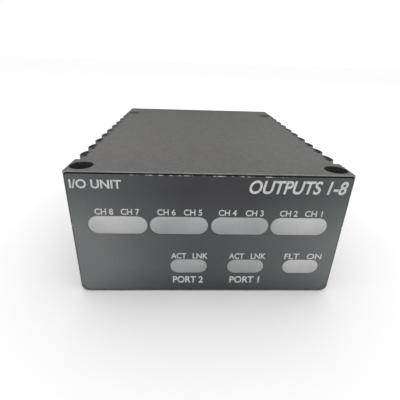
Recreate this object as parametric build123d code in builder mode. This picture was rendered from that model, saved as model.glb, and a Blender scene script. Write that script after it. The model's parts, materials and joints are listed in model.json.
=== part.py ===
from build123d import *
import math
import os

# A plug-on control module lying on one broad side.
# X runs across the label face, Y runs from the label face back to the connectors, Z is up.
# The origin is the centre of the base, under the middle of the whole part. All sizes in millimetres.

# ---- Driving dimensions -------------------------------------------------------------------------

hole_clearance = 0.1
cross_slot_length = 2.3
cross_slot_width = 0.55

body_width = 82.6
body_height = 41.9
body_depth = 114.0
overall_depth = 121.0
seam_height = 24.4
seam_gap = 0.1
seam_bevel = 0.3
wall = 2.0

front_y = -overall_depth / 2
tip_y = overall_depth / 2
rear_y = front_y + body_depth
body_centre_y = (front_y + rear_y) / 2
half_width = body_width / 2

# Scalloped grip: half-round ribs down both long sides.
rib_count = 9
rib_pitch = 8.9
rib_chord = 7.2
rib_root_x = 39.4
rib_crest_x = 41.6
front_block_y = front_y + 10.7
rib_start_y = front_block_y + 1.8
rib_end_y = rib_start_y + rib_count * rib_pitch
rib_top_drop = 0.3
rib_rise = rib_crest_x - rib_root_x
rib_radius = (rib_chord**2 / 4 + rib_rise**2) / (2 * rib_rise)

block_corner = 0.9
block_shoulder = 1.8
block_overrun = 0.1
top_edge_round = 0.4
bottom_edge_round = 3.6

# Inside of the case.
cavity_x = 37.2
cavity_front_y = front_y + 3.0
rear_plate_thickness = 2.5
cavity_rear_y = rear_y - rear_plate_thickness
boss_inner_x = 33.0
front_boss_y = front_y + 10.0
rear_boss_y = rib_end_y - 0.1
front_wall_cut = 6.0
tongue_height = 1.2
tongue_thickness = 0.9
tongue_gap = 0.15

# Case screws, deep in counterbored holes near the corners.
case_screw_x = 37.4
case_screw_front_y = front_y + 5.0
case_screw_rear_y = front_y + 97.5
counterbore_radius = 3.4
counterbore_floor_z = 29.4
case_screw_radius = 1.45
case_screw_hole_radius = 1.75
case_head_radius = 2.75
case_head_height = 3.0
case_head_chamfer = 0.3
hex_key_flats = 2.5
insert_radius = 2.3
insert_bore_radius = 1.5
insert_length = 6.0
case_screw_tip_z = seam_height - insert_length + 0.4

# Label face.
recess_depth = 1.0
recess_half_width = 40.8
recess_bottom_z = 0.5
recess_top_z = 41.6
recess_corner = 3.0
plate_gap = 0.1
plate_top_gap = 0.5
label_thickness = 0.25
label_inset = 0.1
front_plate_thickness = recess_depth - label_inset - label_thickness

# Status windows: centre X, centre Z and overall size of each.
channel_window_size = (17.6, 6.1)
port_window_size = (11.9, 5.4)
channel_window_xs = (-27.4, -9.2, 9.2, 27.4)
port_window_xs = (-6.1, 12.3, 30.4)
channel_window_z = 25.0
port_window_z = 10.0
window_gap = 0.05

# Lamps sit behind the windows, two to a window.
channel_lamp_spread = 6.8
port_lamp_spread = 6.4
lamp_limit_x = 30.8
lamp_channel_radius = 1.6
lamp_size = (2.0, 1.25)
lamp_height = 0.8
lamp_chamfer = 0.15
guide_peg_x = 20.0
guide_peg_z = 17.5
guide_peg_radius = 1.2
guide_peg_tip = 0.6
guide_half_width = 32.6
guide_bottom_z = 5.8
guide_top_z = 29.2
guide_gap = 0.2
guide_front_y = front_y + 1.1
guide_rear_y = front_y + 4.6
led_board_front_y = guide_rear_y + guide_gap
led_board_thickness = 1.0
led_board_half_width = 32.0
led_board_bottom_z = 4.0
led_board_top_z = 31.0

# Boards.
board_thickness = 1.6
board_corner = 1.0
output_board_z = 9.7
processor_board_z = 21.6
board_half_width = 36.4
board_front_y = front_y + 11.0
board_rear_y = cavity_rear_y - 0.6
output_board_rear_y = cavity_rear_y - 4.5
board_notch_x = 32.6
board_notch_y = rear_boss_y - 0.6
standoff_x = 33.2
standoff_ys = (-42.0, 24.0)
standoff_flats = 5.0
standoff_stud_length = 4.5
standoff_post_radius = 3.1
standoff_hole_radius = 1.3
board_screw_radius = 1.2
board_screw_head_radius = 2.2
board_screw_head_height = 1.4
board_screw_length = 5.0
board_screw_reach = 4.0

# Components and the connector between the boards.
relay_pitch = 7.6
processor_chip_height = 2.0
processor_chip_centre = (-14.0, -22.0)
thermal_pad_thickness = 0.5
thermal_pad_side = 21.0
heat_sink_side = 28.0
heat_sink_height = 9.5
heat_sink_base = 2.0
heat_sink_fin = 1.2
heat_sink_fin_count = 8
capacitor_radius = 4.0
capacitor_height = 11.5
capacitor_edge = 0.6
capacitor_places = [(14.0, 30.5), (23.5, 30.5), (-30.5, 4.0), (-30.5, 14.0)]
header_length = 31.0
header_width = 4.0
header_height = 5.0
header_pitch = 2.54
header_pin_count = 12
header_pin_side = 0.64
stack_centre = (0.0, -20.0)
stack_size = (44.0, 6.0)
stack_plug_height = 4.2
stack_blade = 2.4
stack_blade_height = 3.2
stack_blade_inset = 2.0
stack_blade_gap = 0.1

# Rear end plate and what it carries.
rear_plate_half_width = 39.7
rear_plate_bottom_z = 1.2
rear_plate_top_z = 40.6
rear_plate_gap = 0.1
rear_plate_corner = 2.0
panel_gap = 0.2
plate_screw_x = 37.1
plate_screw_zs = (6.0, 20.5)
plate_screw_radius = 1.2
plate_screw_head_radius = 2.3
plate_screw_head_height = 1.3
plate_screw_length = 9.0

dsub_z = output_board_z + board_thickness / 2
dsub_flange_size = (69.3, 12.5)
dsub_flange_thickness = 0.8
dsub_flange_corner = 2.0
dsub_shell_size = (55.4, 8.4)
dsub_slope = 10.0
dsub_corner = 2.4
dsub_shell_thickness = 0.5
dsub_screw_x = 31.75
dsub_row_counts = (19, 18)
dsub_pin_pitch = 2.77
dsub_row_spacing = 2.84
dsub_pin_radius = 0.5
dsub_pin_inset = 0.8
dsub_tail_y = output_board_rear_y - 3.0
dsub_block_rear_y = cavity_rear_y - 3.6

# Hexagonal screwlocks hold the D connector and take the screws of its mate.
screwlock_flats = 4.75
screwlock_length = 4.8
screwlock_shank_radius = 1.3
screwlock_bore_radius = 1.42
screwlock_bore_depth = 4.2
screwlock_chamfer = 0.4

jack_size = (16.0, 13.4)
jack_xs = (-15.5, 2.0)
jack_depth = 18.0
jack_rear_proud = 0.7
jack_shield = 0.3
jack_socket_size = (11.9, 7.6)
jack_latch_size = (6.2, 3.0)
jack_socket_depth = 12.5
jack_contact_count = 8
jack_contact_pitch = 1.02
jack_contact_size = (0.45, 0.35)
jack_contact_root = 1.1
jack_contact_reach = 9.5
jack_contact_dip = 2.6
jack_contact_inset = 1.6
jack_socket_rise = 0.9
jack_latch_overlap = 0.5

power_header_size = (11.4, 8.6)
power_header_x = 18.6
power_header_depth = 12.0
power_header_wall = 0.8
power_header_chamfer = 0.4
power_pin_pitch = 3.5
power_pin_side = 1.0
power_pin_inset = 2.0
power_key_width = 3.0
power_socket_depth = 9.0

# Studs beside the network sockets, for the mounting bracket.
stud_x = 29.5
stud_z = 30.0
stud_radius = 2.0
stud_head_radius = 3.2
stud_head_thickness = 1.5
stud_tip_chamfer = 0.4
washer_outer_radius = 4.5
washer_bore_radius = 2.15
washer_thickness = 0.8
nut_flats = 7.0
nut_thickness = 3.2
nut_bore_radius = 2.06
nut_corner_cut = 0.1
nut_chamfer = 0.45
stack_gap = 0.05

os.makedirs("parts", exist_ok=True)


# ---- Shared helpers -----------------------------------------------------------------------------

def finish(piece, name):
    """Labels a finished piece and writes it under its own name."""
    piece.part.label = name
    export_step(piece.part, f"parts/{name}.step")


def facing_front(y):
    """Plane across the part at depth y. Its sketch X is the part's X, and its sketch Y is up.

    Extruding by a positive amount goes towards the label face.
    """
    return Plane.XZ.offset(-y)


def chip(size, centre, board_top, height):
    """A low square-edged body on a board, with its top edges eased."""
    with BuildPart() as body:
        with BuildSketch(Plane.XY.offset(board_top)):
            with Locations(centre):
                Rectangle(*size)
        extrude(amount=height)
        chamfer(body.edges().group_by(Axis.Z)[-1], min(height, size[0]) * 0.08)
    return body.part


# ---- Case ---------------------------------------------------------------------------------------

def corner_block(y_low, y_high, inner_end):
    """Plan of one straight end of the case, square outside and shouldered towards the ribs."""
    middle = (y_low + y_high) / 2
    half_length = (y_high - y_low) / 2
    with BuildSketch() as plan:
        with Locations((0, middle)):
            Rectangle(body_width, 2 * half_length)
        outer = plan.vertices().filter_by(lambda v: abs(v.Y - inner_end) > half_length)
        inner = plan.vertices().filter_by(lambda v: abs(v.Y - inner_end) < half_length)
        fillet(outer, block_corner)
        fillet(inner, block_shoulder)
    return plan.sketch


front_block_plan = corner_block(front_y, front_block_y, front_block_y)
rear_block_plan = corner_block(rib_end_y + block_overrun, rear_y, rib_end_y + block_overrun)

with BuildSketch() as ribbed_plan:
    with Locations((0, body_centre_y)):
        Rectangle(2 * rib_root_x, body_depth - 4 * block_shoulder)
    rib_ys = [rib_start_y + (index + 0.5) * rib_pitch for index in range(rib_count)]
    rib_x = rib_crest_x - rib_radius
    with Locations(*[(side * rib_x, y) for side in (-1, 1) for y in rib_ys]):
        Circle(rib_radius)

with BuildSketch() as cavity_plan:
    with Locations((0, (cavity_front_y + cavity_rear_y) / 2)):
        Rectangle(2 * cavity_x, cavity_rear_y - cavity_front_y)
    boss_width = half_width - boss_inner_x
    with Locations((boss_inner_x, front_boss_y), (-half_width, front_boss_y)):
        Rectangle(boss_width, boss_width * 2, align=(Align.MIN, Align.MAX), mode=Mode.SUBTRACT)
    with Locations((boss_inner_x, rear_boss_y), (-half_width, rear_boss_y)):
        Rectangle(boss_width, body_depth, align=(Align.MIN, Align.MIN), mode=Mode.SUBTRACT)

case_screw_places = [
    (side * case_screw_x, y) for side in (-1, 1) for y in (case_screw_front_y, case_screw_rear_y)
]
tongue_length = rib_end_y - rib_start_y
tongue_centre_y = (rib_start_y + rib_end_y) / 2

# Outer section of the lower half: rounded along both bottom edges.
with BuildSketch(facing_front(rear_y + 1)) as base_section:
    Rectangle(2 * rib_crest_x, body_height, align=(Align.CENTER, Align.MIN))
    fillet(base_section.vertices().group_by(Axis.Y)[0], bottom_edge_round)

with BuildPart() as base_housing:
    with BuildSketch(Plane.XY):
        add(ribbed_plan.sketch)
        add(front_block_plan)
        add(rear_block_plan)
    extrude(amount=seam_height)
    chamfer(base_housing.faces().sort_by(Axis.Z)[-1].outer_wire().edges(), seam_bevel)
    extrude(base_section.sketch, amount=body_depth + 2, mode=Mode.INTERSECT)
    with BuildSketch(Plane.XY.offset(wall)):
        add(cavity_plan.sketch)
    extrude(amount=seam_height, mode=Mode.SUBTRACT)
    # Recess for the label plate, with rounded lower corners.
    with BuildSketch(facing_front(front_y + recess_depth)) as label_recess:
        with Locations((0, recess_bottom_z)):
            Rectangle(2 * recess_half_width, body_height, align=(Align.CENTER, Align.MIN))
        fillet(label_recess.vertices().group_by(Axis.Y)[0], recess_corner)
    extrude(amount=2 * recess_depth, mode=Mode.SUBTRACT)
    # Window in the front wall for the light guide.
    with BuildSketch(facing_front(cavity_front_y + 1)):
        with Locations((0, guide_bottom_z - guide_gap)):
            Rectangle(2 * (guide_half_width + guide_gap), body_height, align=(Align.CENTER, Align.MIN))
    extrude(amount=front_wall_cut, mode=Mode.SUBTRACT)
    # Seat for the rear plate.
    with BuildSketch(facing_front(rear_y + 1)) as rear_seat:
        with Locations((0, rear_plate_bottom_z - rear_plate_gap)):
            Rectangle(
                2 * (rear_plate_half_width + rear_plate_gap), body_height, align=(Align.CENTER, Align.MIN)
            )
        fillet(rear_seat.vertices().group_by(Axis.Y)[0], rear_plate_corner)
    extrude(amount=rear_plate_thickness + 1, mode=Mode.SUBTRACT)
    # Holes: threaded inserts from the seam, and the rear plate's screws.
    with Locations(*[(x, y, seam_height) for x, y in case_screw_places]):
        Hole(radius=insert_radius, depth=insert_length)
    with Locations(*[(x, y, seam_height - insert_length) for x, y in case_screw_places]):
        Hole(radius=case_screw_hole_radius, depth=wall)
    rear_screw_places = [(side * plate_screw_x, z) for side in (-1, 1) for z in plate_screw_zs]
    with BuildSketch(facing_front(cavity_rear_y)):
        with Locations(*rear_screw_places):
            Circle(plate_screw_radius)
    extrude(amount=plate_screw_length, mode=Mode.SUBTRACT)
    # Tongues that key into the upper half.
    with BuildSketch(Plane.XY.offset(seam_height - wall)):
        with Locations((cavity_x, tongue_centre_y), (-cavity_x - tongue_thickness, tongue_centre_y)):
            Rectangle(tongue_thickness, tongue_length, align=(Align.MIN, Align.CENTER))
    extrude(amount=wall + tongue_height)
    # Posts under the lower board.
    with BuildSketch(Plane.XY.offset(wall)):
        with Locations((0, sum(standoff_ys) / 2)):
            with GridLocations(2 * standoff_x, standoff_ys[1] - standoff_ys[0], 2, 2):
                Circle(standoff_post_radius)
    extrude(amount=output_board_z - wall)
    with Locations((0, sum(standoff_ys) / 2, output_board_z)):
        with GridLocations(2 * standoff_x, standoff_ys[1] - standoff_ys[0], 2, 2):
            Hole(radius=board_screw_radius, depth=board_screw_length)
finish(base_housing, "base_housing")

cover_bottom_z = seam_height + seam_gap
cover_height = body_height - cover_bottom_z

# Outer section of the upper half: its shoulders round off the top end of each rib.
shoulder_z = body_height - rib_top_drop
with BuildSketch(facing_front(rear_y + 1)) as cover_section:
    with BuildLine():
        Line((-rib_root_x, body_height), (rib_root_x, body_height))
        TangentArc((rib_root_x, body_height), (rib_crest_x, shoulder_z), tangent=(1, 0))
        TangentArc((-rib_root_x, body_height), (-rib_crest_x, shoulder_z), tangent=(-1, 0))
        Polyline((rib_crest_x, shoulder_z), (rib_crest_x, 0), (-rib_crest_x, 0), (-rib_crest_x, shoulder_z))
    make_face()

with BuildPart() as top_cover:
    with BuildSketch(Plane.XY.offset(cover_bottom_z)):
        add(ribbed_plan.sketch)
    extrude(amount=cover_height)
    extrude(cover_section.sketch, amount=body_depth + 2, mode=Mode.INTERSECT)
    with BuildSketch(Plane.XY.offset(cover_bottom_z)):
        add(front_block_plan)
        add(rear_block_plan)
    extrude(amount=cover_height)
    chamfer(top_cover.faces().sort_by(Axis.Z)[0].outer_wire().edges(), seam_bevel)
    top_rim = top_cover.faces().sort_by(Axis.Z)[-1].outer_wire().edges()
    block_rim = top_rim.filter_by(
        lambda e: e.center().Y < front_block_y - block_shoulder or e.center().Y > rib_end_y + block_shoulder
    )
    fillet(block_rim, top_edge_round)
    with BuildSketch(Plane.XY.offset(cover_bottom_z)):
        add(cavity_plan.sketch)
    extrude(amount=cover_height - wall, mode=Mode.SUBTRACT)
    with BuildSketch(facing_front(front_y + recess_depth)) as label_recess:
        with Locations((0, recess_top_z)):
            Rectangle(2 * recess_half_width, body_height, align=(Align.CENTER, Align.MAX))
        fillet(label_recess.vertices().group_by(Axis.Y)[-1], block_corner)
    extrude(amount=2 * recess_depth, mode=Mode.SUBTRACT)
    with BuildSketch(facing_front(cavity_front_y + 1)):
        with Locations((0, guide_top_z + guide_gap)):
            Rectangle(2 * (guide_half_width + guide_gap), body_height, align=(Align.CENTER, Align.MAX))
    extrude(amount=front_wall_cut, mode=Mode.SUBTRACT)
    with BuildSketch(facing_front(rear_y + 1)) as rear_seat:
        with Locations((0, rear_plate_top_z + rear_plate_gap)):
            Rectangle(
                2 * (rear_plate_half_width + rear_plate_gap), body_height, align=(Align.CENTER, Align.MAX)
            )
        fillet(rear_seat.vertices().group_by(Axis.Y)[-1], rear_plate_corner)
    extrude(amount=rear_plate_thickness + 1, mode=Mode.SUBTRACT)
    with Locations(*[(x, y, body_height) for x, y in case_screw_places]):
        CounterBoreHole(
            radius=case_screw_hole_radius,
            counter_bore_radius=counterbore_radius,
            counter_bore_depth=body_height - counterbore_floor_z,
            depth=body_height,
        )
    # Grooves for the tongues of the lower half.
    with BuildSketch(Plane.XY.offset(cover_bottom_z)):
        groove_width = tongue_thickness + 2 * tongue_gap
        groove_xs = (cavity_x - tongue_gap, -cavity_x + tongue_gap - groove_width)
        with Locations(*[(x, tongue_centre_y) for x in groove_xs]):
            Rectangle(groove_width, tongue_length + 2 * tongue_gap, align=(Align.MIN, Align.CENTER))
    extrude(amount=tongue_height + tongue_gap, mode=Mode.SUBTRACT)
finish(top_cover, "top_cover")

with BuildPart() as case_screws:
    for x, y in case_screw_places:
        with BuildSketch(Plane.XY.offset(counterbore_floor_z)):
            with Locations((x, y)):
                Circle(case_head_radius)
        head = extrude(amount=case_head_height)
        chamfer(head.edges().group_by(Axis.Z)[-1], case_head_chamfer)
        with BuildSketch(Plane.XY.offset(case_screw_tip_z)):
            with Locations((x, y)):
                Circle(case_screw_radius)
        extrude(amount=counterbore_floor_z - case_screw_tip_z)
        with BuildSketch(Plane.XY.offset(counterbore_floor_z + case_head_height)):
            with Locations((x, y)):
                RegularPolygon(hex_key_flats / 2, 6, major_radius=False)
        extrude(amount=-case_head_height / 2, mode=Mode.SUBTRACT)
finish(case_screws, "case_screws")

with BuildPart() as case_inserts:
    with BuildSketch(Plane.XY.offset(seam_height - insert_length)):
        with Locations(*case_screw_places):
            Circle(insert_radius)
            Circle(insert_bore_radius, mode=Mode.SUBTRACT)
    extrude(amount=insert_length - seam_gap)
finish(case_inserts, "case_inserts")


# ---- Label face ---------------------------------------------------------------------------------

window_groups = [
    ("channel_lens", channel_window_xs, channel_window_z, channel_window_size, channel_lamp_spread),
    ("port_lens", port_window_xs, port_window_z, port_window_size, port_lamp_spread),
]


def label_plate(front, thickness):
    """A plate in the label recess, just short of its top edge, with all the status windows cut through."""
    bottom = recess_bottom_z + plate_gap
    top = recess_top_z - plate_top_gap
    with BuildPart() as plate:
        with BuildSketch(facing_front(front + thickness)) as outline:
            with Locations((0, (bottom + top) / 2)):
                Rectangle(2 * (recess_half_width - plate_gap), top - bottom)
            fillet(outline.vertices().group_by(Axis.Y)[0], recess_corner - plate_gap)
            fillet(outline.vertices().group_by(Axis.Y)[-1], block_corner - plate_gap)
            for _, xs, z, (width, height), _ in window_groups:
                with Locations(*[(x, z) for x in xs]):
                    SlotOverall(width, height, mode=Mode.SUBTRACT)
        extrude(amount=thickness)
    return plate


label_front_y = front_y + label_inset
label_overlay = label_plate(label_front_y, label_thickness)
finish(label_overlay, "label_overlay")

front_plate = label_plate(label_front_y + label_thickness, front_plate_thickness)
finish(front_plate, "front_plate")

lamp_places = []
for lens_name, xs, z, (width, height), spread in window_groups:
    for index, x in enumerate(xs, start=1):
        with BuildPart() as lens:
            with BuildSketch(facing_front(front_y + recess_depth)):
                with Locations((x, z)):
                    SlotOverall(width - 2 * window_gap, height - 2 * window_gap)
            extrude(amount=recess_depth - label_inset - window_gap)
            chamfer(lens.edges().group_by(Axis.Y)[0], window_gap)
        finish(lens, f"{lens_name}_{index}")
        lamp_places += [(max(-lamp_limit_x, min(lamp_limit_x, x + side * spread / 2)), z) for side in (-1, 1)]

guide_centre_z = (guide_bottom_z + guide_top_z) / 2
peg_places = [(side * guide_peg_x, guide_peg_z) for side in (-1, 1)]

with BuildPart() as light_guide:
    with BuildSketch(facing_front(guide_rear_y)):
        with Locations((0, guide_centre_z)):
            Rectangle(2 * guide_half_width, guide_top_z - guide_bottom_z)
        with Locations(*lamp_places):
            Circle(lamp_channel_radius, mode=Mode.SUBTRACT)
    extrude(amount=guide_rear_y - guide_front_y)
    with BuildSketch(facing_front(guide_rear_y)):
        with Locations(*peg_places):
            Circle(guide_peg_radius)
    extrude(amount=-(led_board_front_y - guide_rear_y + led_board_thickness + guide_peg_tip))
finish(light_guide, "light_guide")

led_board_rear_y = led_board_front_y + led_board_thickness

with BuildPart() as led_board:
    with BuildSketch(facing_front(led_board_rear_y)):
        with Locations((0, (led_board_bottom_z + led_board_top_z) / 2)):
            RectangleRounded(2 * led_board_half_width, led_board_top_z - led_board_bottom_z, board_corner)
        with Locations(*peg_places):
            Circle(guide_peg_radius + hole_clearance, mode=Mode.SUBTRACT)
    extrude(amount=led_board_thickness)
finish(led_board, "led_board")

with BuildPart() as status_leds:
    with BuildSketch(facing_front(led_board_front_y)):
        with Locations(*lamp_places):
            Rectangle(*lamp_size)
    extrude(amount=lamp_height)
    chamfer(status_leds.edges().group_by(Axis.Y)[0], lamp_chamfer)
finish(status_leds, "status_leds")


# ---- Circuit boards -----------------------------------------------------------------------------

standoff_places = [(side * standoff_x, y) for side in (-1, 1) for y in standoff_ys]
processor_top_z = processor_board_z + board_thickness
output_top_z = output_board_z + board_thickness


def circuit_board(bottom_z, rear_edge_y):
    """A board that clears the corner bosses at the rear, with a hole at each standoff."""
    with BuildPart() as board:
        with BuildSketch(Plane.XY.offset(bottom_z)) as outline:
            with Locations((0, (board_front_y + rear_edge_y) / 2)):
                Rectangle(2 * board_half_width, rear_edge_y - board_front_y)
            fillet(outline.vertices(), board_corner)
            notch = board_half_width - board_notch_x
            for x, align in ((board_notch_x, Align.MIN), (-board_notch_x, Align.MAX)):
                with Locations((x, board_notch_y)):
                    Rectangle(2 * notch, body_depth, align=(align, Align.MIN), mode=Mode.SUBTRACT)
            with Locations(*standoff_places):
                Circle(standoff_hole_radius, mode=Mode.SUBTRACT)
        extrude(amount=board_thickness)
    return board


processor_board = circuit_board(processor_board_z, board_rear_y)
finish(processor_board, "processor_board")

output_board = circuit_board(output_board_z, output_board_rear_y)
finish(output_board, "output_board")

with BuildPart() as board_standoffs:
    with BuildSketch(Plane.XY.offset(output_top_z)):
        with Locations(*standoff_places):
            RegularPolygon(standoff_flats / 2, 6, major_radius=False)
    extrude(amount=processor_board_z - output_top_z)
    with BuildSketch(Plane.XY.offset(output_top_z)):
        with Locations(*standoff_places):
            Circle(board_screw_radius)
    extrude(amount=-(board_thickness + standoff_stud_length))
    with Locations(*[(x, y, processor_board_z) for x, y in standoff_places]):
        Hole(radius=board_screw_radius, depth=board_screw_length)
finish(board_standoffs, "board_standoffs")

with BuildPart() as board_screws:
    with BuildSketch(Plane.XY.offset(processor_top_z)):
        with Locations(*standoff_places):
            Circle(board_screw_head_radius)
    extrude(amount=board_screw_head_height)
    fillet(board_screws.edges().group_by(Axis.Z)[-1], board_screw_head_height / 2)
    with BuildSketch(Plane.XY.offset(processor_top_z)):
        with Locations(*standoff_places):
            Circle(board_screw_radius)
    extrude(amount=-(board_thickness + board_screw_reach))
    with BuildSketch(Plane.XY.offset(processor_top_z + board_screw_head_height)):
        with Locations(*standoff_places):
            Rectangle(cross_slot_length, cross_slot_width)
            Rectangle(cross_slot_width, cross_slot_length)
    extrude(amount=-board_screw_head_height / 2, mode=Mode.SUBTRACT)
finish(board_screws, "board_screws")

# Flat-topped components: name, board top, height, size in plan, centres.
channel_xs = [(index - 3.5) * relay_pitch for index in range(8)]
component_groups = [
    ("processor_chip", processor_top_z, processor_chip_height, (23.0, 23.0), [processor_chip_centre]),
    ("logic_chip", processor_top_z, 1.6, (20.0, 20.0), [(15.0, -26.0)]),
    ("memory_chips", processor_top_z, 1.1, (11.0, 9.0), [(-20.5, -1.0), (-7.5, -1.0)]),
    ("network_chips", processor_top_z, 0.9, (7.0, 7.0), [(x, 13.0) for x in jack_xs]),
    ("network_transformers", processor_top_z, 6.0, (13.0, 10.0), [(x, 26.5) for x in jack_xs]),
    ("power_converter", processor_top_z, 9.0, (25.4, 19.0), [(21.5, -3.0)]),
    ("power_inductors", processor_top_z, 6.5, (11.0, 11.0), [(16.0, 16.0), (28.8, 14.5)]),
    ("converter_chip", output_top_z, 1.4, (14.0, 14.0), [(0.0, -36.0)]),
    ("driver_chips", output_top_z, 1.7, (5.0, 6.2), [(x, 13.0) for x in channel_xs]),
    ("sense_resistors", output_top_z, 0.7, (3.2, 6.4), [(x, 3.0) for x in channel_xs]),
    ("enable_relays", output_top_z, 5.4, (6.5, 10.0), [(x, 26.0) for x in channel_xs]),
]
for name, board_top, height, size, centres in component_groups:
    with BuildPart() as group:
        for centre in centres:
            add(chip(size, centre, board_top, height))
    finish(group, name)

with BuildPart() as filter_capacitors:
    with BuildSketch(Plane.XY.offset(processor_top_z)):
        with Locations(*capacitor_places):
            Circle(capacitor_radius)
    extrude(amount=capacitor_height)
    fillet(filter_capacitors.edges().group_by(Axis.Z)[-1], capacitor_edge)
finish(filter_capacitors, "filter_capacitors")

with BuildPart() as thermal_pad:
    with BuildSketch(Plane.XY.offset(processor_top_z + processor_chip_height)):
        with Locations(processor_chip_centre):
            Rectangle(thermal_pad_side, thermal_pad_side)
    extrude(amount=thermal_pad_thickness)
finish(thermal_pad, "thermal_pad")

with BuildPart() as heat_sink:
    heat_sink_z = processor_top_z + processor_chip_height + thermal_pad_thickness
    with BuildSketch(Plane.XY.offset(heat_sink_z)):
        with Locations(processor_chip_centre):
            Rectangle(heat_sink_side, heat_sink_side)
    extrude(amount=heat_sink_height)
    fin_pitch = (heat_sink_side - heat_sink_fin) / (heat_sink_fin_count - 1)
    with BuildSketch(Plane.XY.offset(heat_sink_z + heat_sink_base)):
        with Locations(processor_chip_centre):
            with GridLocations(fin_pitch, 0, heat_sink_fin_count - 1, 1):
                Rectangle(fin_pitch - heat_sink_fin, heat_sink_side)
    extrude(amount=heat_sink_height, mode=Mode.SUBTRACT)
finish(heat_sink, "heat_sink")

with BuildPart() as led_board_header:
    with BuildSketch(Plane.XY.offset(processor_top_z)):
        with Locations((0, board_front_y)):
            Rectangle(header_length, header_width, align=(Align.CENTER, Align.MIN))
    extrude(amount=header_height)
    with BuildSketch(facing_front(board_front_y)):
        with Locations((0, processor_top_z + header_height / 2)):
            with GridLocations(header_pitch, 0, header_pin_count, 1):
                Rectangle(header_pin_side, header_pin_side)
    extrude(amount=board_front_y - led_board_rear_y)
finish(led_board_header, "led_board_header")

# Stacking connector between the two boards: a bladed plug below, a slotted socket above.
stack_split_z = output_top_z + stack_plug_height

with BuildPart() as board_connector_plug:
    with BuildSketch(Plane.XY.offset(output_top_z)):
        with Locations(stack_centre):
            Rectangle(*stack_size)
    extrude(amount=stack_plug_height)
    with BuildSketch(Plane.XY.offset(stack_split_z)):
        with Locations(stack_centre):
            Rectangle(stack_size[0] - 2 * stack_blade_inset, stack_blade)
    extrude(amount=stack_blade_height)
finish(board_connector_plug, "board_connector_plug")

with BuildPart() as board_connector_socket:
    with BuildSketch(Plane.XY.offset(stack_split_z)):
        with Locations(stack_centre):
            Rectangle(*stack_size)
    extrude(amount=processor_board_z - stack_split_z)
    with BuildSketch(Plane.XY.offset(stack_split_z)):
        with Locations(stack_centre):
            Rectangle(
                stack_size[0] - 2 * (stack_blade_inset - stack_blade_gap), stack_blade + 2 * stack_blade_gap
            )
    extrude(amount=stack_blade_height + stack_blade_gap, mode=Mode.SUBTRACT)
finish(board_connector_socket, "board_connector_socket")


# ---- Rear end plate and connectors --------------------------------------------------------------

def dsub_outline(width, height):
    """D-shaped outline, wider along its upper side."""
    narrowing = height * math.tan(math.radians(dsub_slope))
    with BuildSketch() as outline:
        with BuildLine():
            Polyline(
                (-width / 2, height / 2),
                (width / 2, height / 2),
                (width / 2 - narrowing, -height / 2),
                (-width / 2 + narrowing, -height / 2),
                close=True,
            )
        make_face()
        fillet(outline.vertices(), dsub_corner)
    return outline.sketch


def dsub_inside(clearance):
    """D-shaped outline inside the shell's wall."""
    inset = 2 * (dsub_shell_thickness + clearance)
    return dsub_outline(dsub_shell_size[0] - inset, dsub_shell_size[1] - inset)


jack_bottom_z = processor_top_z
jack_centre_z = jack_bottom_z + jack_size[1] / 2
jack_mouth_y = rear_y + jack_rear_proud
power_header_z = processor_top_z + power_header_size[1] / 2
dsub_screw_places = [(side * dsub_screw_x, dsub_z) for side in (-1, 1)]
stud_places = [(side * stud_x, stud_z) for side in (-1, 1)]

with BuildPart() as rear_plate:
    with BuildSketch(facing_front(rear_y)) as outline:
        with Locations((0, (rear_plate_bottom_z + rear_plate_top_z) / 2)):
            Rectangle(2 * rear_plate_half_width, rear_plate_top_z - rear_plate_bottom_z)
        fillet(outline.vertices(), rear_plate_corner)
        with Locations((0, dsub_z)):
            add(
                dsub_outline(dsub_shell_size[0] + 2 * panel_gap, dsub_shell_size[1] + 2 * panel_gap),
                mode=Mode.SUBTRACT,
            )
        with Locations(*[(x, jack_centre_z) for x in jack_xs]):
            Rectangle(jack_size[0] + 2 * panel_gap, jack_size[1] + 2 * panel_gap, mode=Mode.SUBTRACT)
        with Locations((power_header_x, power_header_z)):
            Rectangle(*[side + 2 * panel_gap for side in power_header_size], mode=Mode.SUBTRACT)
        with Locations(*stud_places):
            Circle(stud_radius, mode=Mode.SUBTRACT)
        with Locations(*dsub_screw_places):
            Circle(screwlock_shank_radius + hole_clearance, mode=Mode.SUBTRACT)
        with Locations(*rear_screw_places):
            Circle(plate_screw_radius + hole_clearance, mode=Mode.SUBTRACT)
    extrude(amount=rear_plate_thickness)
    # Countersinks for the plate's own screws.
    for x, z in rear_screw_places:
        with BuildSketch(facing_front(rear_y - plate_screw_head_height)):
            with Locations((x, z)):
                Circle(plate_screw_radius + hole_clearance)
        with BuildSketch(facing_front(rear_y)):
            with Locations((x, z)):
                Circle(plate_screw_head_radius)
        loft(mode=Mode.SUBTRACT)
finish(rear_plate, "rear_plate")

with BuildPart() as rear_plate_screws:
    for x, z in rear_screw_places:
        with BuildSketch(facing_front(rear_y - plate_screw_head_height)):
            with Locations((x, z)):
                Circle(plate_screw_radius)
        with BuildSketch(facing_front(rear_y)):
            with Locations((x, z)):
                Circle(plate_screw_head_radius - hole_clearance)
        loft()
        with BuildSketch(facing_front(rear_y - plate_screw_head_height)):
            with Locations((x, z)):
                Circle(plate_screw_radius)
        extrude(amount=plate_screw_length - plate_screw_head_height)
        with BuildSketch(facing_front(rear_y)):
            with Locations((x, z)):
                Rectangle(cross_slot_length, cross_slot_width)
                Rectangle(cross_slot_width, cross_slot_length)
        extrude(amount=plate_screw_head_height / 2, mode=Mode.SUBTRACT)
finish(rear_plate_screws, "rear_plate_screws")

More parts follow.
